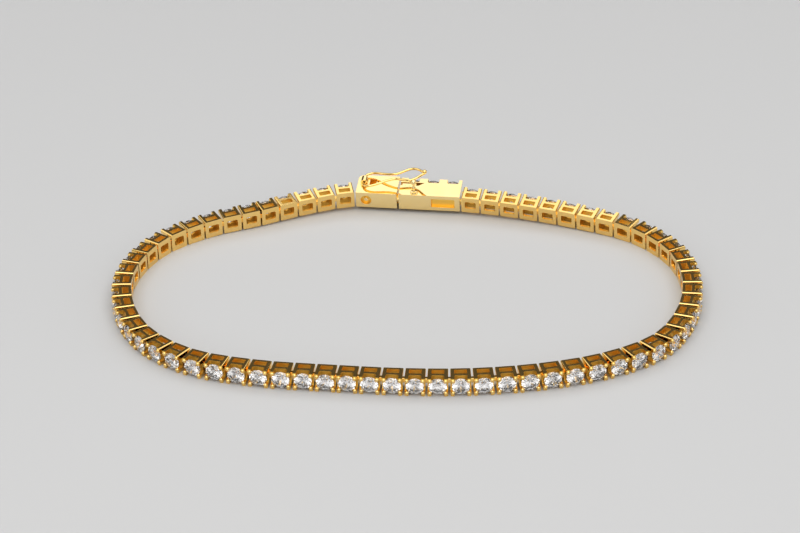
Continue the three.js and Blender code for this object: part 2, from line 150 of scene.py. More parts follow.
# %% How the strip leans
CLASP_LEAN = 9
CLASP_LIFT = 0.5
LIE = [
    dict(share=0.0, lean=10, lift=1.0),
    dict(share=0.045, lean=14, lift=0.7),
    dict(share=0.094, lean=9, lift=0.34),
    dict(share=0.15, lean=3, lift=0.0),
    dict(share=0.22, lean=0, lift=0.0),
    dict(share=0.86, lean=0, lift=0.0),
    dict(share=0.95, lean=6, lift=0.6),
    dict(share=1.0, lean=8, lift=1.0),
]


def lie_at(share):
    """How far the strip leans in, in degrees, and stands off the surface, in millimetres."""
    for low, high in zip(LIE, LIE[1:]):
        if share <= high["share"]:
            part = (share - low["share"]) / (high["share"] - low["share"])
            lean = low["lean"] + (high["lean"] - low["lean"]) * part
            lift = low["lift"] + (high["lift"] - low["lift"]) * part
            return lean, lift * CLASP_LIFT
    return LIE[-1]["lean"], LIE[-1]["lift"] * CLASP_LIFT


for number, joint in enumerate(joints):
    joint.z = lie_at(number / LINKS)[1]
print("beside the clasp the joints stand", round(joints[0].z, 3), "mm off the surface")

# %% The place of each link
def place_between(start, end, lean_degrees):
    """The place of a piece from one joint to the next: X along it, Y out of the loop, Z up."""
    along = (end - start).normalized()
    out = Vector((0, 0, 1)).cross(along).normalized()
    up = along.cross(out)
    lean = math.radians(lean_degrees)
    leant_out = out * math.cos(lean) + up * math.sin(lean)
    leant_up = along.cross(leant_out)
    turn = Matrix((along, leant_out, leant_up)).transposed().to_4x4()
    return Matrix.Translation(start) @ turn


link_places = [
    place_between(joints[i], joints[i + 1], lie_at((i + 0.5) / LINKS)[0]) for i in range(LINKS)
]
corners = [
    place @ Vector((x, LINK_DEPTH, z))
    for place in link_places
    for x in (LINK_GAP / 2, PITCH - LINK_GAP / 2)
    for z in (0, STRIP_HEIGHT)
]

# %% Move the route onto the solids
low_right, high_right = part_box("chain_right")
move = Vector((
    high_right[0] / MM - max(corner.x for corner in corners),
    low_right[1] / MM - min(corner.y for corner in corners),
    0,
))
to_scene = Matrix.Scale(MM, 4) @ Matrix.Translation(move)
link_places = [to_scene @ place for place in link_places]
clasp_place = to_scene @ place_between(joints[LINKS], joints[0], CLASP_LEAN)
print("the route is moved by", move)

# %% [markdown]
# ## Workshop helpers
# The operators act on whatever is selected, and the frame arrives selected. So each helper first
# deselects everything and makes its own piece active. A block or a ball is only the stock that a
# jeweller would saw off first. The shape comes from what is then done to it.

# %% Pick a piece and settle it
def pick(piece):
    """Makes one piece the only selected one."""
    bpy.ops.object.select_all(action="DESELECT")
    piece.select_set(True)
    bpy.context.view_layer.objects.active = piece


def settle(piece):
    """Puts the object's move, turn and size into its mesh."""
    pick(piece)
    bpy.ops.object.transform_apply(location=True, rotation=True, scale=True)
    return piece


def triangles(piece):
    """How many triangles the piece has once its faces are split."""
    return sum(len(face.vertices) - 2 for face in piece.data.polygons)

# %% Stock to start from
def add_block(name, low, high):
    """A block between two corners."""
    low, high = Vector(low), Vector(high)
    bpy.ops.object.select_all(action="DESELECT")
    bpy.ops.mesh.primitive_cube_add(size=1, location=(low + high) / 2)
    block = bpy.context.object
    block.name = name
    block.scale = high - low
    return settle(block)


def add_rod(name, radius, start, end, sides=32):
    """A round rod from one point to another."""
    start, end = Vector(start), Vector(end)
    turn = Vector((0, 0, 1)).rotation_difference(end - start)
    bpy.ops.object.select_all(action="DESELECT")
    bpy.ops.mesh.primitive_cylinder_add(
        vertices=sides, radius=radius, depth=(end - start).length,
        location=(start + end) / 2, rotation=turn.to_euler())
    rod = bpy.context.object
    rod.name = name
    return settle(rod)


def add_ball(name, radius, centre, segments, rings):
    """A round bead."""
    bpy.ops.object.select_all(action="DESELECT")
    bpy.ops.mesh.primitive_uv_sphere_add(
        segments=segments, ring_count=rings, radius=radius, location=centre)
    ball = bpy.context.object
    ball.name = name
    settle(ball)
    bpy.ops.object.shade_smooth()
    return ball

# %% Round some edges of a block
def bevel_edges(piece, test, radius, segments):
    """Rounds the edges whose two ends pass the test."""
    pick(piece)
    mesh = piece.data
    mesh.vertices.foreach_set("select", [False] * len(mesh.vertices))
    mesh.polygons.foreach_set("select", [False] * len(mesh.polygons))
    for edge in mesh.edges:
        ends = [mesh.vertices[k] for k in edge.vertices]
        edge.select = test(ends[0].co, ends[1].co)
        for end in ends:
            end.select = end.select or edge.select
    bpy.context.tool_settings.mesh_select_mode = (False, True, False)
    bpy.ops.object.mode_set(mode="EDIT")
    bpy.ops.mesh.bevel(offset=radius, segments=segments, affect="EDGES")
    bpy.ops.object.mode_set(mode="OBJECT")
    return piece


def add_rounded_block(name, low, high, axis, radius, segments=4):
    """A block whose four edges along one axis are rounded."""
    block = add_block(name, low, high)

    def runs_along(a, b):
        return abs(a[axis] - b[axis]) > 1e-6

    return bevel_edges(block, runs_along, radius, segments)

# %% [markdown]
# ## One link
# A box link is a small square tube of gold. It could be built from four thin walls, but it is truer to
# the bench to start from a solid block and drill it. The four long edges of the block are rounded,
# because the ends of the real links are worn and polished round and catch the light as bright bars.

# %% The block of a link
BLOCK_DEPTH = 2.3
END_ROUNDING = 0.15
link = add_rounded_block(
    "link", (LINK_GAP / 2, 0, 0), (PITCH - LINK_GAP / 2, BLOCK_DEPTH, STRIP_HEIGHT),
    axis=1, radius=END_ROUNDING)
print("the block has", triangles(link), "triangles")

# %% [markdown]
# ## Its openings
# Both side walls have a long window near the back and a round-cornered notch in front, so that light
# reaches the stone. What is left between the notches are four corner prongs. A cutter is a piece of its
# own that a Boolean modifier takes away, as a drill or file would, and it is deleted after use.

# %% Carve and solder
def combine(piece, other, operation):
    """Takes another piece away from this one, or joins it, and deletes it."""
    pick(piece)
    change = piece.modifiers.new("change", "BOOLEAN")
    change.operation = operation
    change.object = other
    change.solver = "EXACT"
    bpy.ops.object.modifier_apply(modifier=change.name)
    mesh = other.data
    bpy.data.objects.remove(other)
    bpy.data.meshes.remove(mesh)
    return piece


def carve(piece, cutter):
    """Takes the cutter's shape out of the piece."""
    return combine(piece, cutter, "DIFFERENCE")


def solder(piece, other):
    """Makes the two one solid, without walls inside."""
    return combine(piece, other, "UNION")

# %% Windows in the side walls
PAST = 1.0
WINDOW_LENGTH = 1.5
WINDOW_FROM_BACK = 0.31
WINDOW_DEPTH = 0.81
WINDOW_ROUNDING = 0.1
WINDOW_END = WINDOW_FROM_BACK + WINDOW_DEPTH
LINK_MIDDLE = PITCH / 2
carve(link, add_rounded_block(
    "window", (LINK_MIDDLE - WINDOW_LENGTH / 2, WINDOW_FROM_BACK, -PAST),
    (LINK_MIDDLE + WINDOW_LENGTH / 2, WINDOW_END, STRIP_HEIGHT + PAST), 2, WINDOW_ROUNDING))
print("with its windows it has", triangles(link), "triangles")

# %% Notches that leave four prongs
BAR_DEPTH = 0.34
NOTCH_START = WINDOW_END + BAR_DEPTH
NOTCH_LENGTH = 1.52
NOTCH_HEIGHT = 1.36
END_NOTCH_STEP = 0.1
SIDE_NOTCH_ROUNDING = 0.26
END_NOTCH_ROUNDING = 0.24
NOTCH_TOP = LINK_DEPTH + PAST
carve(link, add_rounded_block(
    "notch", (LINK_MIDDLE - NOTCH_LENGTH / 2, NOTCH_START, -PAST),
    (LINK_MIDDLE + NOTCH_LENGTH / 2, NOTCH_TOP, STRIP_HEIGHT + PAST), 2, SIDE_NOTCH_ROUNDING))
carve(link, add_rounded_block(
    "end_notch", (-PAST, NOTCH_START + END_NOTCH_STEP, MIDDLE_HEIGHT - NOTCH_HEIGHT / 2),
    (PITCH + PAST, NOTCH_TOP, MIDDLE_HEIGHT + NOTCH_HEIGHT / 2), 0, END_NOTCH_ROUNDING))
print("with its notches it has", triangles(link), "triangles")

# %% The opening in the back and the stone's seat
BACK_OPENING_LENGTH = 1.45
BACK_OPENING_HEIGHT = 1.05
BACK_OPENING_ROUNDING = 0.2
SEAT_RADIUS = 0.6
SEAT_START = WINDOW_FROM_BACK + 0.5
SEAT_SIDES = 24
along, across = BACK_OPENING_LENGTH / 2, BACK_OPENING_HEIGHT / 2
carve(link, add_rounded_block(
    "back_opening", (LINK_MIDDLE - along, -PAST, MIDDLE_HEIGHT - across),
    (LINK_MIDDLE + along, WINDOW_END, MIDDLE_HEIGHT + across), 1, BACK_OPENING_ROUNDING))
carve(link, add_rod(
    "seat", SEAT_RADIUS, (LINK_MIDDLE, SEAT_START, MIDDLE_HEIGHT),
    (LINK_MIDDLE, NOTCH_START + PAST, MIDDLE_HEIGHT), SEAT_SIDES))
print("with its seat it has", triangles(link), "triangles")

# %% [markdown]
# ## Polish
# Polishing takes the sharp edges off, and only a rounded edge gives a highlight. The edges could be
# picked one by one, but a Bevel modifier takes every sharp edge at once. Weighted normals then keep the
# large faces flat, as a mirror is.

# %% Polish the edges
SHARP_ANGLE = 30
SMOOTH_ANGLE = 50
LINK_EDGE = 0.04


def keep_flats_flat(piece):
    """Smooth shading whose large flat faces stay flat, so that they mirror without a warp."""
    pick(piece)
    bpy.ops.object.shade_smooth_by_angle(angle=math.radians(SMOOTH_ANGLE))
    weigh = piece.modifiers.new("flats", "WEIGHTED_NORMAL")
    weigh.weight = 100
    weigh.keep_sharp = True
    bpy.ops.object.modifier_apply(modifier=weigh.name)
    return piece


def soften(piece, width, segments=2):
    """Polishes the sharp edges round and shades the rest smooth."""
    pick(piece)
    bpy.ops.object.mode_set(mode="EDIT")
    bpy.ops.mesh.select_all(action="SELECT")
    bpy.ops.mesh.remove_doubles(threshold=0.001)
    bpy.ops.mesh.dissolve_limited(angle_limit=math.radians(1))
    bpy.ops.object.mode_set(mode="OBJECT")
    bevel = piece.modifiers.new("polish", "BEVEL")
    bevel.limit_method = "ANGLE"
    bevel.angle_limit = math.radians(SHARP_ANGLE)
    bevel.width = width
    bevel.segments = segments
    bpy.ops.object.modifier_apply(modifier=bevel.name)
    return keep_flats_flat(piece)


soften(link, LINK_EDGE)
print("polished, the link has", triangles(link), "triangles")

# %% [markdown]
# ## Where the buff can't reach
# Inside the windows and recesses the gold is left unpolished and satin. Its deeper orange is painted
# glow, which stands in for light bouncing between the walls. It could be a second material, but an
# attribute is simpler and blends. Every face whose middle lies inside the outer block is marked with a
# one, and the finish reads the mark further down.

# %% Mark the satin faces, which also get painted glow
SKIN = 0.05


def mark_satin_and_painted_glow(piece, low, high):
    """Marks the faces that lie deeper than the polished skin of a block between two corners."""
    # The mark gives these faces a satin roughness and a painted glow colour in the finish.
    satin_and_painted_glow = piece.data.attributes.new("satin_and_painted_glow", "FLOAT", "FACE")
    marks = [
        float(all(a + SKIN < c < b - SKIN for a, c, b in zip(low, face.center, high)))
        for face in piece.data.polygons
    ]
    satin_and_painted_glow.data.foreach_set("value", marks)
    print(piece.name, "has", int(sum(marks)), "cast faces of", len(marks))


mark_satin_and_painted_glow(link, (LINK_GAP / 2, 0, 0), (PITCH - LINK_GAP / 2, LINK_DEPTH, STRIP_HEIGHT))

# %% [markdown]
# ## Lug and beads
# A lug reaches from each link into the one before it and keeps the two together. Each prong ends in a
# bead that was pushed over the stone's rim. Both could be drawn out of the block, but it is simpler to
# set small pieces into it. A bead is seen hundreds of times, so it has few faces and smooth shading.

# %% The lug
LUG_FROM_BACK = 0.36
LUG_DEPTH = 0.5
LUG_HEIGHT = 0.6
LUG_BITE = 0.25
LUG_EDGE = 0.06
LUG_REACH = LINK_GAP / 2 + LUG_BITE
lug = add_block(
    "lug", (-LUG_REACH, LUG_FROM_BACK, MIDDLE_HEIGHT - LUG_HEIGHT / 2),
    (LUG_REACH, LUG_FROM_BACK + LUG_DEPTH, MIDDLE_HEIGHT + LUG_HEIGHT / 2))
soften(lug, LUG_EDGE)
print("the lug has", triangles(lug), "triangles")

# %% The prong beads
BEAD_RADIUS = 0.265
BEAD_ASIDE = 0.93
BEAD_RISE = 0.81
BEAD_FROM_TIPS = 0.27
BEAD_SIDES = 12
BEAD_RINGS = 6


def prong_beads(x, depth):
    """Four beads round a stone whose middle is at x, on prongs of this depth."""
    y = depth - BEAD_FROM_TIPS
    return [
        add_ball(
            "bead", BEAD_RADIUS, (x + side * BEAD_ASIDE, y, MIDDLE_HEIGHT + level * BEAD_RISE),
            BEAD_SIDES, BEAD_RINGS)
        for side in (-1, 1)
        for level in (-1, 1)
    ]


def join(pieces, name):
    """Makes several pieces one object."""
    bpy.ops.object.select_all(action="DESELECT")
    for piece in pieces:
        piece.select_set(True)
    bpy.context.view_layer.objects.active = pieces[0]
    bpy.ops.object.join()
    pieces[0].name = name
    return pieces[0]


link = join([link, lug] + prong_beads(LINK_MIDDLE, LINK_DEPTH), "link")
print("a link has", triangles(link), "triangles")

# %% [markdown]
# ## One stone
# A round brilliant is cut, not moulded: the cutter grinds one flat facet after another at fixed
# angles. The same is done here with the bisect operator, which slices the mesh with a plane and fills
# the cut. The planes come from the meet points, the places where three facets touch, so the facets
# close on each other as they do on a real stone: a table, 8 kites, 8 stars, 16 upper and 16 lower
# girdle facets and 8 pavilion facets.

# %% Sizes of a stone
STONE_DIAMETER = 2.15
TABLE_DIAMETER = 1.22
CROWN_HEIGHT = 0.32
GIRDLE_HEIGHT = 0.06
PAVILION_DEPTH = 0.92
TABLE_BELOW_TIPS = 0.06
STAR_RADIUS = 0.81
LOWER_RADIUS = 0.26
GIRDLE = STONE_DIAMETER / 2
HALF_GIRDLE = GIRDLE_HEIGHT / 2
TABLE = TABLE_DIAMETER / 2
TABLE_TOP = HALF_GIRDLE + CROWN_HEIGHT
CULET = -HALF_GIRDLE - PAVILION_DEPTH
FACET_STEP = 45
HALF_STEP = FACET_STEP / 2
print("a stone is", round(TABLE_TOP - CULET, 2), "mm deep")

# %% The grinding wheel
def on_ring(radius, turn, height):
    """A point so many degrees round a ring."""
    angle = math.radians(turn)
    return Vector((radius * math.cos(angle), radius * math.sin(angle), height))


def grind(a, b, c):
    """Slices the stone with the plane through three points and keeps the side with its middle."""
    normal = (b - a).cross(c - a).normalized()
    if normal.dot(a) < 0:
        normal = -normal
    bpy.ops.mesh.select_all(action="SELECT")
    bpy.ops.mesh.bisect(plane_co=a, plane_no=normal, use_fill=True, clear_outer=True, threshold=1e-5)


def grind_main_facets():
    """The table, 8 kites and 8 pavilion facets."""
    grind(Vector((0, 0, TABLE_TOP)), Vector((1, 0, TABLE_TOP)), Vector((0, 1, TABLE_TOP)))
    for turn in range(0, 360, FACET_STEP):
        across = on_ring(1.0, turn + 90, 0)
        tip = on_ring(GIRDLE, turn, HALF_GIRDLE)
        grind(tip, on_ring(TABLE, turn, TABLE_TOP), tip + across)
        low_tip = on_ring(GIRDLE, turn, -HALF_GIRDLE)
        grind(low_tip, Vector((0, 0, CULET)), low_tip + across)

# %% The small facets
def grind_small_facets():
    """The stars and the upper and lower girdle facets, from their meet points."""
    narrow = math.cos(math.radians(HALF_STEP))
    star_height = HALF_GIRDLE + (GIRDLE - STAR_RADIUS * narrow) * CROWN_HEIGHT / (GIRDLE - TABLE)
    lower_height = CULET + LOWER_RADIUS * narrow * PAVILION_DEPTH / GIRDLE
    for turn in range(0, 360, FACET_STEP):
        middle = turn + HALF_STEP
        star = on_ring(STAR_RADIUS, middle, star_height)
        lower = on_ring(LOWER_RADIUS, middle, lower_height)
        grind(on_ring(TABLE, turn, TABLE_TOP), on_ring(TABLE, turn + FACET_STEP, TABLE_TOP), star)
        for start in (turn, turn + FACET_STEP):
            for level, meet in ((HALF_GIRDLE, star), (-HALF_GIRDLE, lower)):
                grind(on_ring(GIRDLE, start, level), on_ring(GIRDLE, middle, level), meet)

# %% Cut the stone and set it
SPARE = 0.1
stone = add_rod("stone", GIRDLE, (0, 0, CULET - SPARE), (0, 0, TABLE_TOP + SPARE), 32)
bpy.ops.object.mode_set(mode="EDIT")
grind_main_facets()
grind_small_facets()
bpy.ops.object.mode_set(mode="OBJECT")
table_out = Matrix.Rotation(math.radians(-90), 4, "X")
seat = Matrix.Translation((LINK_MIDDLE, LINK_DEPTH - TABLE_BELOW_TIPS - TABLE_TOP, MIDDLE_HEIGHT))
stone.data.transform(seat @ table_out)
bpy.ops.object.shade_flat()
print("a stone has", len(stone.data.polygons), "facets")

# %% [markdown]
# ## The chain
# The link and the stone are copied along the route, and each half of the chain becomes one object for
# the metal and one for the stones. Instances would be lighter, but a reusable part needs plain meshes,
# so each copy has its own. The stones turn a little from one link to the next, as hand-set stones do, so
# they don't all flash together.

# %% Copies and small turns
STONE_TURN = 17


def copy_of(piece, place):
    """A copy with its own mesh, put in its place."""
    copy = piece.copy()
    copy.data = piece.data.copy()
    copy.data.transform(place)
    bpy.context.collection.objects.link(copy)
    return copy


def turned(number):
    """A small turn of a stone about its own axis, different from link to link."""
    spot = Vector((LINK_MIDDLE, 0, MIDDLE_HEIGHT))
    turn = Matrix.Rotation(math.radians((number * STONE_TURN) % FACET_STEP), 4, "Y")
    return Matrix.Translation(spot) @ turn @ Matrix.Translation(-spot)

# %% Lay the links and stones
def lay_half(side, first, last):
    """The links and the stones of one half of the chain, as two pieces."""
    metal = [copy_of(link, link_places[i]) for i in range(first, last)]
    stones = [copy_of(stone, link_places[i] @ turned(i)) for i in range(first, last)]
    metal_half = join(metal, "links_" + side)
    stone_half = join(stones, "stones_" + side)
    print(side, "half:", triangles(metal_half), "and", triangles(stone_half), "triangles")
    return metal_half, stone_half


links_right, stones_right = lay_half("right", 0, LINKS // 2)
links_left, stones_left = lay_half("left", LINKS // 2, LINKS)

# %% [markdown]
# ## The tongue head
# The left end of the clasp is a polished block with one broad rounded corner. It could be an extruded
# outline, but the corner is simply a block's edge with a large bevel, as a file would round it.

# %% The block of the head
CLASP_DEPTH = 3.9
HEAD_START = LINK_GAP / 2
HEAD_END = HEAD_START + 5.45
HEAD_CORNER_RADIUS = 0.8
HEAD_CORNER_SEGMENTS = 10


def is_outer_corner(a, b):
    """The corner at the left end, on the side of the stones."""
    return all(p.x < HEAD_START + 0.01 and p.y > CLASP_DEPTH - 0.01 for p in (a, b))


head = add_block("head", (HEAD_START, 0, 0), (HEAD_END, CLASP_DEPTH, STRIP_HEIGHT))
bevel_edges(head, is_outer_corner, HEAD_CORNER_RADIUS, HEAD_CORNER_SEGMENTS)
print("the head's block has", triangles(head), "triangles")

# %% [markdown]
# ## Its tubes
# The safety catches turn in two short tubes on the head's broad faces. A ready-made pipe could be laid
# on the face, but would touch it along a line only. So each is a round rod on a foot, soldered to the
# face and bored through, and the wire's straight end can turn in it.

# %% Sizes of the tubes
TUBE_X = HEAD_START + 0.9
TUBE_RADIUS = 0.45
TUBE_BORE = 0.27
TUBE_LENGTH = 1.0
CATCH_WIRE_RADIUS = 0.17
CATCH_WIRE_GAP = 0.14
CATCH_RISE = CATCH_WIRE_GAP + CATCH_WIRE_RADIUS
CATCH_CENTRE_FROM_BACK = 2.3


def hinge_height(side):
    """The height of a catch's axis; the side is 1 on the upper face and -1 on the lower one."""
    return (STRIP_HEIGHT if side > 0 else 0) + side * CATCH_RISE


def catch_tube(side):
    """A tube on its foot, which reaches a little way into the head."""
    axis = hinge_height(side)
    low, high = sorted((axis - side * (CATCH_RISE + CATCH_WIRE_GAP), axis))
    y0 = CATCH_CENTRE_FROM_BACK - TUBE_LENGTH / 2
    y1 = y0 + TUBE_LENGTH
    tube = add_block("tube", (TUBE_X - TUBE_RADIUS, y0, low), (TUBE_X + TUBE_RADIUS, y1, high))
    return solder(tube, add_rod("tube_round", TUBE_RADIUS, (TUBE_X, y0, axis), (TUBE_X, y1, axis)))


def catch_bore(side):
    """The drill for a tube."""
    axis = hinge_height(side)
    y0 = CATCH_CENTRE_FROM_BACK - TUBE_LENGTH
    y1 = CATCH_CENTRE_FROM_BACK + TUBE_LENGTH
    return add_rod("bore", TUBE_BORE, (TUBE_X, y0, axis), (TUBE_X, y1, axis))

# %% Solder the tubes and bore them
for side in (1, -1):
    solder(head, catch_tube(side))
for side in (1, -1):
    carve(head, catch_bore(side))
print("with its tubes the head has", triangles(head), "triangles")

# %% [markdown]
# ## Recess, slot and rivet
# A round recess with a rivet in it shows on the back, and a small slot beside the tube on the upper
# face. Both are drilled. A pocket at the end takes the lug of the chain's last link, with play.

# %% Drill the head
LUG_PLAY = 0.15
RECESS_X = HEAD_START + 1.35
RECESS_RADIUS = 0.7
RECESS_DEPTH = 0.35
SLOT_X = TUBE_X + 0.7
SLOT_LENGTH = 0.85
SLOT_FROM_BACK = 1.85
SLOT_END = SLOT_FROM_BACK + 1.25
SLOT_ROUNDING = 0.08
RIVET_RADIUS = 0.3
RIVET_FROM_BACK = 0.1
RIVET_TO = 0.5
RIVET_EDGE = 0.08
HEAD_EDGE = 0.06
CUTTER_PLAY = 0.1


def lug_pocket(x):
    """The cutter for the place of a lug."""
    play = LUG_PLAY + CUTTER_PLAY
    reach = LINK_GAP / 2 + LUG_BITE + play
    half = LUG_HEIGHT / 2 + play
    return add_block(
        "pocket", (x - reach, LUG_FROM_BACK - play, MIDDLE_HEIGHT - half),
        (x + reach, LUG_FROM_BACK + LUG_DEPTH + play, MIDDLE_HEIGHT + half))


carve(head, add_rod(
    "recess", RECESS_RADIUS, (RECESS_X, -PAST, MIDDLE_HEIGHT), (RECESS_X, RECESS_DEPTH, MIDDLE_HEIGHT)))
carve(head, add_rounded_block(
    "slot", (SLOT_X, SLOT_FROM_BACK, MIDDLE_HEIGHT),
    (SLOT_X + SLOT_LENGTH, SLOT_END, STRIP_HEIGHT + PAST), 2, SLOT_ROUNDING, segments=3))
carve(head, lug_pocket(0))
soften(head, HEAD_EDGE, 3)
mark_satin_and_painted_glow(head, (HEAD_START, 0, 0), (HEAD_END, CLASP_DEPTH, STRIP_HEIGHT))
rivet = add_rod(
    "rivet", RIVET_RADIUS, (RECESS_X, RIVET_FROM_BACK, MIDDLE_HEIGHT),
    (RECESS_X, RIVET_TO, MIDDLE_HEIGHT), sides=20)
soften(rivet, RIVET_EDGE, 3)
print("polished, the head has", triangles(head), "triangles")

# %% [markdown]
# ## The folded spring
# A strip of gold folded back on itself is soldered to the head and clicks into the box. Its upper leaf
# carries the press, a small plate that the thumb pushes down through the cut in the box. A flat shape
# could be bent, but nearly all of it is hidden. So blocks that overlap are soldered into one and
# softened, which is how the strip and its arm look once they are bent. Their heights count from the
# middle of the strip.

# %% Sizes of the spring
BOX_START = HEAD_END + 0.25
SPRING_ROOT = HEAD_END - 0.4
SPRING_FROM_BACK = 0.7
SPRING_TO = 1.9
STRIP_THICKNESS = 0.3
STRIP_OUTSIDE = 0.45
STRIP_INSIDE = 0.15
FOLD_X = BOX_START + 5.25
PRESS_START = BOX_START + 0.2
PRESS_END = PRESS_START + 1.9
PRESS_FROM_BACK = 2.25
PRESS_TO = 2.65
PRESS_TOP = STRIP_HEIGHT - 0.1 - MIDDLE_HEIGHT
ARM_LOW = 0.3
ARM_TOP = 0.6
SPRING_EDGE = 0.05
print("the folded spring is", round(FOLD_X - SPRING_ROOT, 2), "mm long")

# %% Fold the spring
spring = add_block(
    "spring", (SPRING_ROOT, SPRING_FROM_BACK, MIDDLE_HEIGHT - STRIP_OUTSIDE),
    (FOLD_X, SPRING_TO, MIDDLE_HEIGHT - STRIP_INSIDE))
fold_start = FOLD_X - STRIP_THICKNESS
for name, low, high in (
    ("fold", (fold_start, SPRING_FROM_BACK, -STRIP_OUTSIDE), (FOLD_X, SPRING_TO, STRIP_OUTSIDE)),
    ("leaf", (PRESS_START, SPRING_FROM_BACK, STRIP_INSIDE), (FOLD_X, SPRING_TO, STRIP_OUTSIDE)),
    ("arm", (PRESS_START, SPRING_FROM_BACK, ARM_LOW), (PRESS_END, PRESS_TO, ARM_TOP)),
    ("pad", (PRESS_START, PRESS_FROM_BACK, ARM_LOW), (PRESS_END, PRESS_TO, PRESS_TOP)),
):
    up = Vector((0, 0, MIDDLE_HEIGHT))
    solder(spring, add_block(name, Vector(low) + up, Vector(high) + up))
soften(spring, SPRING_EDGE)
tongue = join([head, rivet, spring], "tongue_head")
tongue.data.transform(clasp_place)
print("the tongue head has", triangles(tongue), "triangles")

# %% [markdown]
# ## The box
# The right end of the clasp is a hollow box with flat, mirror-bright walls. It could be folded from
# sheet, but a block that is hollowed keeps its walls true. Its front carries three stones in notches
# like the links', so the same cutters are used, three times beside each other.

# %% The block and its hollow
BOX_END = CLASP_SPAN - LINK_GAP / 2
BOX_STONES = 3
BOX_WALL = 0.4
BOX_FRONT = CLASP_DEPTH - 0.2
HOLLOW_END = BOX_START + 5.6
HOLLOW_TO = 2.15
box = add_block("box", (BOX_START, 0, 0), (BOX_END, BOX_FRONT, STRIP_HEIGHT))
carve(box, add_block(
    "hollow", (BOX_START - PAST, BOX_WALL, BOX_WALL),
    (HOLLOW_END, HOLLOW_TO, STRIP_HEIGHT - BOX_WALL)))
print("the hollow box has", triangles(box), "triangles")

# %% The notches for its stones
BOX_NOTCH_START = CLASP_DEPTH - (LINK_DEPTH - NOTCH_START)
BOX_NOTCH_TOP = CLASP_DEPTH + PAST
BOX_SEAT_RADIUS = 0.66
BOX_SEAT_START = 2.3
BOX_STONE_MIDDLES = [CLASP_SPAN - (number + 0.5) * PITCH for number in range(BOX_STONES)]
carve(box, add_rounded_block(
    "end_notch", (BOX_START - PAST, BOX_NOTCH_START + END_NOTCH_STEP, MIDDLE_HEIGHT - NOTCH_HEIGHT / 2),
    (BOX_END + PAST, BOX_NOTCH_TOP, MIDDLE_HEIGHT + NOTCH_HEIGHT / 2), 0, END_NOTCH_ROUNDING))
for x in BOX_STONE_MIDDLES:
    carve(box, add_rounded_block(
        "notch", (x - NOTCH_LENGTH / 2, BOX_NOTCH_START, -PAST),
        (x + NOTCH_LENGTH / 2, BOX_NOTCH_TOP, STRIP_HEIGHT + PAST), 2, SIDE_NOTCH_ROUNDING))
    carve(box, add_rod(
        "seat", BOX_SEAT_RADIUS, (x, BOX_SEAT_START, MIDDLE_HEIGHT),
        (x, BOX_NOTCH_START + PAST, MIDDLE_HEIGHT), SEAT_SIDES))
print("with its notches it has", triangles(box), "triangles")

# %% [markdown]
# ## The thumb cut
# The upper wall is cut away beside the spring, so that a thumb can press it. The cut's right end is
# slanted. A plain block is the cutter, and one of its vertical edges is drawn out to make the slant.

# %% Shape the cutter
CUT_FROM_BACK = 2.1
CUT_WIDTH = 0.65
CUT_SHORT_LENGTH = 2.4
CUT_LONG_LENGTH = 3.15
CUT_DEPTH = 1.05


def thumb_cut():
    """The cutter for the thumb press: a block whose far right edge is drawn out to a slope."""
    cutter = add_block(
        "thumb_cut", (BOX_START - PAST, CUT_FROM_BACK, STRIP_HEIGHT - CUT_DEPTH),
        (BOX_START + CUT_SHORT_LENGTH, CUT_FROM_BACK + CUT_WIDTH, STRIP_HEIGHT + PAST))
    pick(cutter)
    bpy.ops.object.mode_set(mode="EDIT")
    bpy.ops.mesh.select_all(action="DESELECT")
    bpy.ops.object.mode_set(mode="OBJECT")
    for vertex in cutter.data.vertices:
        vertex.select = vertex.co.x > BOX_START and vertex.co.y > CUT_FROM_BACK + 0.1
    bpy.context.tool_settings.mesh_select_mode = (True, False, False)
    bpy.ops.object.mode_set(mode="EDIT")
    bpy.ops.transform.translate(value=(CUT_LONG_LENGTH - CUT_SHORT_LENGTH, 0, 0))
    bpy.ops.object.mode_set(mode="OBJECT")
    return cutter

# %% Cut, recess and polish the box
FLAT_RECESS_START = BOX_END - 3.8
FLAT_RECESS_END = BOX_END - 0.7
FLAT_RECESS_HALF = 0.65
FLAT_RECESS_ROUNDING = 0.12
BOX_EDGE = 0.045
carve(box, add_rounded_block(
    "flat_recess", (FLAT_RECESS_START, -PAST, MIDDLE_HEIGHT - FLAT_RECESS_HALF),
    (FLAT_RECESS_END, RECESS_DEPTH, MIDDLE_HEIGHT + FLAT_RECESS_HALF), 1, FLAT_RECESS_ROUNDING))
carve(box, lug_pocket(CLASP_SPAN))
carve(box, thumb_cut())
soften(box, BOX_EDGE)
mark_satin_and_painted_glow(box, (BOX_START, 0, 0), (BOX_END, CLASP_DEPTH, STRIP_HEIGHT))
print("polished, the box has", triangles(box), "triangles")

# %% [markdown]
# ## The ball peg
# The upper catch snaps over a little turned peg: a ring, a waist with a collar, a neck and a ball. It
# is turned as on a lathe. A disc is extruded upwards a little at a time, and each new edge is drawn in
# or out, so the profile is a plain list of radius and height.

# %% Turn on a lathe
def turn_on_lathe(name, foot, rows, sides=24):
    """A round shape: a disc drawn up and widened or narrowed, row by row of radius and height."""
    foot = Vector(foot)
    radius, height = rows[0]
    bpy.ops.object.select_all(action="DESELECT")
    bpy.ops.mesh.primitive_circle_add(
        vertices=sides, radius=radius, fill_type="NGON", location=foot + Vector((0, 0, height)))
    shape = settle(bpy.context.object)
    shape.name = name
    bpy.ops.object.mode_set(mode="EDIT")
    bpy.ops.mesh.select_all(action="SELECT")
    for next_radius, next_height in rows[1:]:
        bpy.ops.mesh.extrude_region_move(
            TRANSFORM_OT_translate={"value": (0, 0, next_height - height)})
        grow = next_radius / radius
        bpy.ops.transform.resize(value=(grow, grow, 1), center_override=(foot.x, foot.y, foot.z))
        radius, height = next_radius, next_height
    bpy.ops.mesh.select_all(action="SELECT")
    bpy.ops.mesh.normals_make_consistent(inside=False)
    bpy.ops.object.mode_set(mode="OBJECT")
    bpy.ops.object.shade_smooth_by_angle(angle=math.radians(40))
    return shape

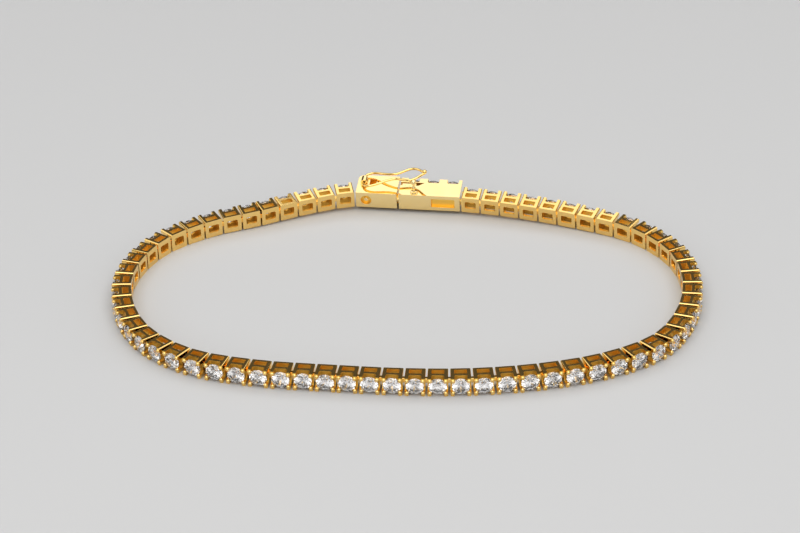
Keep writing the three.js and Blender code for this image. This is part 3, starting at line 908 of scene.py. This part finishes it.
# %% The peg and the stud
PEG_X = BOX_START + 2.02
PEG_FROM_BACK = 0.55
PEG_RISE = 1.7
BALL_RADIUS = 0.38
STUD_FROM_BACK = 2.2
STUD_RADIUS = 0.3
STUD_LOW = -0.4
STUD_TOP = 0.2
STUD_EDGE = 0.06
peg_stem = [
    (0.48, -0.2), (0.48, 0.14), (0.44, 0.2), (0.36, 0.22), (0.2, 0.24), (0.15, 0.32), (0.15, 0.62),
    (0.19, 0.68), (0.24, 0.76), (0.24, 0.86), (0.19, 0.94), (0.14, 1.0), (0.14, 1.34),
]
peg_ball = [
    (BALL_RADIUS * math.sin(math.radians(turn)), PEG_RISE - BALL_RADIUS * math.cos(math.radians(turn)))
    for turn in range(24, 175, 15)
]
peg = turn_on_lathe("peg", (PEG_X, PEG_FROM_BACK, STRIP_HEIGHT), peg_stem + peg_ball)
stud = add_rod(
    "stud", STUD_RADIUS, (PEG_X, STUD_FROM_BACK, STUD_LOW), (PEG_X, STUD_FROM_BACK, STUD_TOP), sides=24)
soften(stud, STUD_EDGE, 3)
print("the peg has", triangles(peg), "triangles")

# %% Bring the box together
box_beads = [bead for x in BOX_STONE_MIDDLES for bead in prong_beads(x, CLASP_DEPTH)]
clasp_box = join([box, peg, stud] + box_beads, "clasp_box_shell")
clasp_box.data.transform(clasp_place)
box_stones = []
for number in range(BOX_STONES):
    step_out = Matrix.Translation((CLASP_SPAN - (number + 1) * PITCH, CLASP_DEPTH - LINK_DEPTH, 0))
    box_stones.append(copy_of(stone, clasp_place @ step_out @ turned(number + 3)))
clasp_stones = join(box_stones, "clasp_stones")
print("the box has", triangles(clasp_box), "triangles")

# %% [markdown]
# ## The safety catches
# Each catch is one bent wire. Its ends turn in the tube, it pinches in the middle and opens again into
# a round loop, and a bead for the thumb closes it. A curve through the bends, with a round section, is
# the nearest thing to bending wire, and it becomes a mesh before the bead is soldered on.

# %% The bends of the wire
CATCH_LENGTH = 8.3
CATCH_WIDTH = 2.66
STEPS_PER_BEND = 6
CATCH_OUTLINE = [
    (0.0, 0.08), (0.0, 0.5), (0.02, 0.88), (0.1, 1.04), (0.2, 0.94), (0.34, 0.62), (0.45, 0.45),
    (0.55, 0.45), (0.65, 0.72), (0.75, 0.94), (0.85, 0.8), (0.95, 0.3), (1.0, 0.0),
]


def smooth_through(points, steps):
    """Points on a smooth curve through the given ones."""
    ends = [2 * points[0] - points[1]] + points + [2 * points[-1] - points[-2]]
    spans = [ends[k:k + 4] for k in range(len(ends) - 3)]
    path = [on_curve(span, step / steps) for span in spans for step in range(steps)]
    return path + [points[-1]]


one_side = [
    Vector((along * CATCH_LENGTH, across * CATCH_WIDTH / 2, 0)) for along, across in CATCH_OUTLINE
]
other_side = [Vector((point.x, -point.y, 0)) for point in reversed(one_side[:-1])]
catch_path = smooth_through(one_side + other_side, STEPS_PER_BEND)
print("the wire runs through", len(catch_path), "points")

# %% Bend the wire
THUMB_BEAD_RADIUS = 0.305
THUMB_BEAD_RISE = 0.15
BENT_WIRE_RADIUS = CATCH_WIRE_RADIUS - 0.005


def bend_catch(name):
    """A flat loop of round wire along the path, its ends closed, with its thumb bead."""
    bend = bpy.data.curves.new(name, "CURVE")
    bend.dimensions = "3D"
    bend.bevel_depth = BENT_WIRE_RADIUS
    bend.bevel_resolution = 3
    bend.use_fill_caps = True
    line = bend.splines.new("POLY")
    line.points.add(len(catch_path) - 1)
    for spot, point in zip(line.points, catch_path):
        spot.co = (*point, 1)
    wire = bpy.data.objects.new(name, bend)
    bpy.context.collection.objects.link(wire)
    pick(wire)
    bpy.ops.object.convert(target="MESH")
    wire = bpy.context.object
    bpy.ops.object.mode_set(mode="EDIT")
    bpy.ops.mesh.select_all(action="SELECT")
    bpy.ops.mesh.remove_doubles(threshold=0.001)
    bpy.ops.mesh.normals_make_consistent(inside=False)
    bpy.ops.object.mode_set(mode="OBJECT")
    bpy.ops.object.shade_smooth_by_angle(angle=math.radians(40))
    bead = add_ball("thumb_bead", THUMB_BEAD_RADIUS, (CATCH_LENGTH, 0, THUMB_BEAD_RISE), 24, 16)
    return join([wire, bead], name)

# %% Hang the catches in their tubes
CATCH_OPEN = 12


def hang_catch(name, side, open_degrees):
    """A catch in its tube; the side is 1 on the upper face and -1 on the lower one."""
    catch = bend_catch(name)
    pivot = Matrix.Translation((TUBE_X, CATCH_CENTRE_FROM_BACK, hinge_height(side)))
    turn = Matrix.Rotation(math.radians(-open_degrees), 4, "Y")
    flip = Matrix.Rotation(0 if side > 0 else math.pi, 4, "X")
    catch.data.transform(clasp_place @ pivot @ turn @ flip)
    return catch


upper_catch = hang_catch("upper_safety_catch", 1, CATCH_OPEN)
lower_catch = hang_catch("lower_safety_catch", -1, 0)
print("a catch has", triangles(upper_catch), "triangles")

# %% [markdown]
# ## Polished gold
# Polished gold shows mostly what it reflects, so its look is in its roughness: a mirror with faint
# cloudy smudges, hair-fine polishing lines and a slight wave where the buff pressed harder. An image
# could carry them, but noise in the object's own space needs no file and never repeats. All three come
# from one node group, which the gold of the links, the clasp and the catches share.

# %% The polish group
SMUDGE_SIZE = 600.0
LINE_SIZE = 9000.0
WAVE_SIZE = 260.0
WAVE = 6.0


def add_noise(nodes, links, place, size, detail):
    """A noise that reads its place and its size from two sockets."""
    noise = nodes.new("ShaderNodeTexNoise")
    noise.inputs["Detail"].default_value = detail
    links.new(place, noise.inputs["Vector"])
    links.new(size, noise.inputs["Scale"])
    return noise.outputs["Fac"]


def build_polish_group():
    """Smudges as a mask from 0 to 1, and lines and waves as a relief."""
    group = bpy.data.node_groups.new("polish", "ShaderNodeTree")
    make = group.interface.new_socket
    for name, value in (
        ("Smudge size", SMUDGE_SIZE), ("Line size", LINE_SIZE), ("Wave size", WAVE_SIZE), ("Wave", WAVE),
    ):
        make(name=name, in_out="INPUT", socket_type="NodeSocketFloat").default_value = value
    make(name="Smudge", in_out="OUTPUT", socket_type="NodeSocketFloat")
    make(name="Relief", in_out="OUTPUT", socket_type="NodeSocketFloat")
    nodes, links = group.nodes, group.links
    given = nodes.new("NodeGroupInput")
    result = nodes.new("NodeGroupOutput")
    place = nodes.new("ShaderNodeTexCoord").outputs["Object"]
    stretch = nodes.new("ShaderNodeMapping")
    stretch.inputs["Scale"].default_value = (1.0, 1.0, 0.12)
    stretch.inputs["Rotation"].default_value = (0.3, 0.9, 0.4)
    links.new(place, stretch.inputs["Vector"])
    smudge = add_noise(nodes, links, place, given.outputs["Smudge size"], 4)
    lines = add_noise(nodes, links, stretch.outputs["Vector"], given.outputs["Line size"], 2)
    waves = add_noise(nodes, links, place, given.outputs["Wave size"], 0)
    relief = nodes.new("ShaderNodeMath")
    relief.operation = "MULTIPLY_ADD"
    links.new(waves, relief.inputs[0])
    links.new(given.outputs["Wave"], relief.inputs[1])
    links.new(lines, relief.inputs[2])
    links.new(smudge, result.inputs["Smudge"])
    links.new(relief.outputs["Value"], result.inputs["Relief"])
    return group


polish_group = build_polish_group()
print("the polish group has", len(polish_group.nodes), "nodes")

# %% [markdown]
# ## Satin gold and painted glow
# Inside the windows and recesses the gold is satin, and its deeper orange is painted glow for light that
# bounces between the walls. A second node group reads the mark on each face and blends from the polished
# colour and roughness to the painted glow colour and the satin roughness. One material then serves the
# whole link, and the border between the two runs along the edges by itself.

# %% The satin and painted glow group
def build_satin_and_painted_glow_group():
    """Mixes a satin roughness and a painted glow colour in where a face is marked."""
    group = bpy.data.node_groups.new("satin_and_painted_glow", "ShaderNodeTree")
    make = group.interface.new_socket
    for name, way, kind in (
        ("Polished color", "INPUT", "Color"), ("Painted glow color", "INPUT", "Color"),
        ("Polished roughness", "INPUT", "Float"), ("Raw roughness", "INPUT", "Float"),
        ("Color", "OUTPUT", "Color"), ("Roughness", "OUTPUT", "Float"),
    ):
        make(name=name, in_out=way, socket_type="NodeSocket" + kind)
    nodes, links = group.nodes, group.links
    given = nodes.new("NodeGroupInput")
    result = nodes.new("NodeGroupOutput")
    mark = nodes.new("ShaderNodeAttribute")
    mark.attribute_name = "satin_and_painted_glow"
    for kind, first, second, end in (
        ("RGBA", "Polished color", "Painted glow color", "Color"),
        ("FLOAT", "Polished roughness", "Raw roughness", "Roughness"),
    ):
        mix = nodes.new("ShaderNodeMix")
        mix.data_type = kind
        sockets = [socket for socket in mix.inputs if socket.enabled]
        links.new(mark.outputs["Fac"], sockets[0])
        links.new(given.outputs[first], sockets[1])
        links.new(given.outputs[second], sockets[2])
        links.new([socket for socket in mix.outputs if socket.enabled][0], result.inputs[end])
    return group


satin_and_painted_glow_group = build_satin_and_painted_glow_group()
print("the cast group has", len(satin_and_painted_glow_group.nodes), "nodes")

# %% Gold
# The recess colour is a deeper orange painted in as glow, for light bouncing between the walls.
PAINTED_RECESS_GLOW = (1.0, 0.67, 0.17)
RAW_ROUGHNESS = 0.42
LINE_DEPTH = 0.000001


def new_material(name):
    """A material with nodes, and its nodes and links."""
    material = bpy.data.materials.new(name)
    material.use_nodes = True
    return material, material.node_tree.nodes, material.node_tree.links


def gold(name, pale, deep, low_roughness, high_roughness):
    """Polished gold: two close tones, a roughness that drifts, and fine lines."""
    material, nodes, links = new_material(name)
    shader = nodes["Principled BSDF"]
    shader.inputs["Metallic"].default_value = 1.0
    polish = nodes.new("ShaderNodeGroup")
    polish.node_tree = polish_group
    tone = nodes.new("ShaderNodeMix")
    tone.data_type = "RGBA"
    tone.inputs["A"].default_value = (*pale, 1)
    tone.inputs["B"].default_value = (*deep, 1)
    links.new(polish.outputs["Smudge"], tone.inputs["Factor"])
    # Recess faces take a satin roughness and the painted glow colour.
    satin_and_painted_glow = nodes.new("ShaderNodeGroup")
    satin_and_painted_glow.node_tree = satin_and_painted_glow_group
    satin_and_painted_glow.inputs["Painted glow color"].default_value = (*PAINTED_RECESS_GLOW, 1)
    satin_and_painted_glow.inputs["Raw roughness"].default_value = RAW_ROUGHNESS
    links.new(tone.outputs["Result"], satin_and_painted_glow.inputs["Polished color"])
    links.new(satin_and_painted_glow.outputs["Color"], shader.inputs["Base Color"])
    rough = nodes.new("ShaderNodeMapRange")
    rough.inputs["From Min"].default_value = 0.3
    rough.inputs["From Max"].default_value = 0.7
    rough.inputs["To Min"].default_value = low_roughness
    rough.inputs["To Max"].default_value = high_roughness
    links.new(polish.outputs["Smudge"], rough.inputs["Value"])
    links.new(rough.outputs["Result"], satin_and_painted_glow.inputs["Polished roughness"])
    links.new(satin_and_painted_glow.outputs["Roughness"], shader.inputs["Roughness"])
    bump = nodes.new("ShaderNodeBump")
    bump.inputs["Distance"].default_value = LINE_DEPTH
    links.new(polish.outputs["Relief"], bump.inputs["Height"])
    links.new(bump.outputs["Normal"], shader.inputs["Normal"])
    return material


link_gold = gold("link_gold", (1.0, 0.74, 0.32), (0.96, 0.64, 0.22), 0.03, 0.09)
clasp_gold = gold("clasp_gold", (1.0, 0.8, 0.43), (0.99, 0.75, 0.35), 0.03, 0.09)
wire_gold = gold("wire_gold", (1.0, 0.75, 0.33), (0.96, 0.66, 0.24), 0.05, 0.12)
print("gold for", link_gold.name, clasp_gold.name, wire_gold.name)

# %% [markdown]
# ## The stones' finish
# A clear stone is all bending and mirroring of light. Painted light and dark facets would suit one
# view only, but a transmitting shader with a high index suits them all, and the facets do the rest. A
# breath of warmth and of dust drifts over it, as on stones that have been worn.

# %% A clear brilliant
def brilliant():
    """Clear stone with a high index, a tint that drifts and a little dust."""
    material, nodes, links = new_material("clear_brilliant")
    shader = nodes["Principled BSDF"]
    shader.inputs["Transmission Weight"].default_value = 0.95
    shader.inputs["IOR"].default_value = 2.2
    where = nodes.new("ShaderNodeTexCoord")
    drift = nodes.new("ShaderNodeTexNoise")
    drift.inputs["Scale"].default_value = 300.0
    links.new(where.outputs["Object"], drift.inputs["Vector"])
    tint = nodes.new("ShaderNodeMix")
    tint.data_type = "RGBA"
    tint.inputs["A"].default_value = (1.0, 1.0, 1.0, 1)
    tint.inputs["B"].default_value = (1.0, 0.965, 0.955, 1)
    links.new(drift.outputs["Fac"], tint.inputs["Factor"])
    links.new(tint.outputs["Result"], shader.inputs["Base Color"])
    rough = nodes.new("ShaderNodeMapRange")
    rough.inputs["To Max"].default_value = 0.03
    links.new(drift.outputs["Fac"], rough.inputs["Value"])
    links.new(rough.outputs["Result"], shader.inputs["Roughness"])
    return material


stone_finish = brilliant()
print("the stones are", stone_finish.name)

# %% [markdown]
# ## Who moves with what
# The chain and the clasp are one body, and each catch turns on its own hinge. Each finished piece takes
# the place of the plain solids it was modelled after.

# %% Ride, replace and give the finishes
def finish_piece(piece, material):
    """Gives every face of the piece one material."""
    piece.data.materials.clear()
    piece.data.materials.append(material)
    piece.data.polygons.foreach_set("material_index", [0] * len(piece.data.polygons))


for piece, body, slot, material, replaced in (
    (links_right, "bracelet", "yellow_gold", link_gold, ["chain_right"]),
    (links_left, "bracelet", "yellow_gold", link_gold, ["chain_left"]),
    (stones_right, "bracelet", "clear_stone", stone_finish, []),
    (stones_left, "bracelet", "clear_stone", stone_finish, []),
    (tongue, "bracelet", "yellow_gold", clasp_gold, ["clasp_tongue"]),
    (clasp_box, "bracelet", "yellow_gold", clasp_gold, ["clasp_box"]),
    (clasp_stones, "bracelet", "clear_stone", stone_finish,
     ["clasp_stone_1", "clasp_stone_2", "clasp_stone_3"]),
    (upper_catch, "upper_catch", "gold_wire", wire_gold, ["catch_upper"]),
    (lower_catch, "lower_catch", "gold_wire", wire_gold, ["catch_lower"]),
):
    finish_piece(piece, material)
    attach(piece, body)
    if replaced:
        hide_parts(*replaced)
    print(piece.name, "rides on", body)

# %% Put the patterns away
for pattern in (link, stone):
    mesh = pattern.data
    bpy.data.objects.remove(pattern)
    bpy.data.meshes.remove(mesh)

# %% [markdown]
# ## The studio
# Gold shows only what stands around it. A broad soft light hangs high behind the bracelet, so the
# leaning clasp and the tops of the leaning links catch it, and the upright ones mirror the darker room.
# Another hangs high in front and lights the rounded ends of the links. The floor is plain and pale.

# %% The floor
bpy.ops.object.select_all(action="DESELECT")
bpy.ops.mesh.primitive_plane_add(size=6)
floor = bpy.context.object
floor.name = "floor"
floor_finish, nodes, links = new_material("pale_floor")
nodes["Principled BSDF"].inputs["Base Color"].default_value = (0.56, 0.56, 0.56, 1)
nodes["Principled BSDF"].inputs["Roughness"].default_value = 0.6
floor.data.materials.append(floor_finish)
print("the floor is", tuple(floor.dimensions))

# %% Soft lights and a dim room
def soft_light(name, spot, size, power):
    """A white panel that faces the bracelet."""
    lamp = bpy.data.lights.new(name, "AREA")
    lamp.shape = "RECTANGLE"
    lamp.size, lamp.size_y = size
    lamp.energy = power
    light = bpy.data.objects.new(name, lamp)
    bpy.context.collection.objects.link(light)
    light.location = spot
    light.rotation_euler = (-Vector(spot)).to_track_quat("-Z", "Y").to_euler()


soft_light("overhead_back", (0.0, 0.245, 0.49), (1.1, 0.5), 1.75)
soft_light("high_in_front", (0.0, -0.22, 0.56), (0.9, 0.6), 2.4)
soft_light("behind_the_camera", (0.0, -0.52, 0.3), (0.9, 0.4), 1.1)
soft_light("left", (-0.55, -0.05, 0.2), (0.4, 0.3), 0.45)
soft_light("right", (0.55, -0.05, 0.2), (0.4, 0.3), 0.45)
room = bpy.data.worlds.new("room")
room.use_nodes = True
room.node_tree.nodes["Background"].inputs["Color"].default_value = (0.1, 0.097, 0.094, 1)
bpy.context.scene.world = room
bpy.context.scene.view_settings.view_transform = "Standard"
bpy.context.scene.view_settings.look = "Medium High Contrast"
print("lights:", len(bpy.data.lights))

# %% [markdown]
# ## The camera
# It looks down at thirty degrees from a long way off for so small a thing, through a long lens, as a
# jewellery photographer's would, so the near and far links are close to the same size.

# %% Place the camera
CAMERA_ELEVATION = 30.03
CAMERA_DISTANCE = 0.300
CAMERA_ROLL = -1.4
LOOK_AT = Vector((-0.0007, 0.00174, 0.00235))
back_away = Vector((
    0, -math.cos(math.radians(CAMERA_ELEVATION)), math.sin(math.radians(CAMERA_ELEVATION))))
lens = bpy.data.cameras.new("camera")
lens.lens = 108
lens.sensor_width = 36
lens.clip_start = 0.01
camera = bpy.data.objects.new("camera", lens)
bpy.context.collection.objects.link(camera)
camera.location = LOOK_AT + back_away * CAMERA_DISTANCE
aim = (-back_away).to_track_quat("-Z", "Y").to_matrix()
camera.rotation_euler = (aim @ Matrix.Rotation(math.radians(CAMERA_ROLL), 3, "Z")).to_euler()
bpy.context.scene.camera = camera
print("the camera stands at", camera.location)
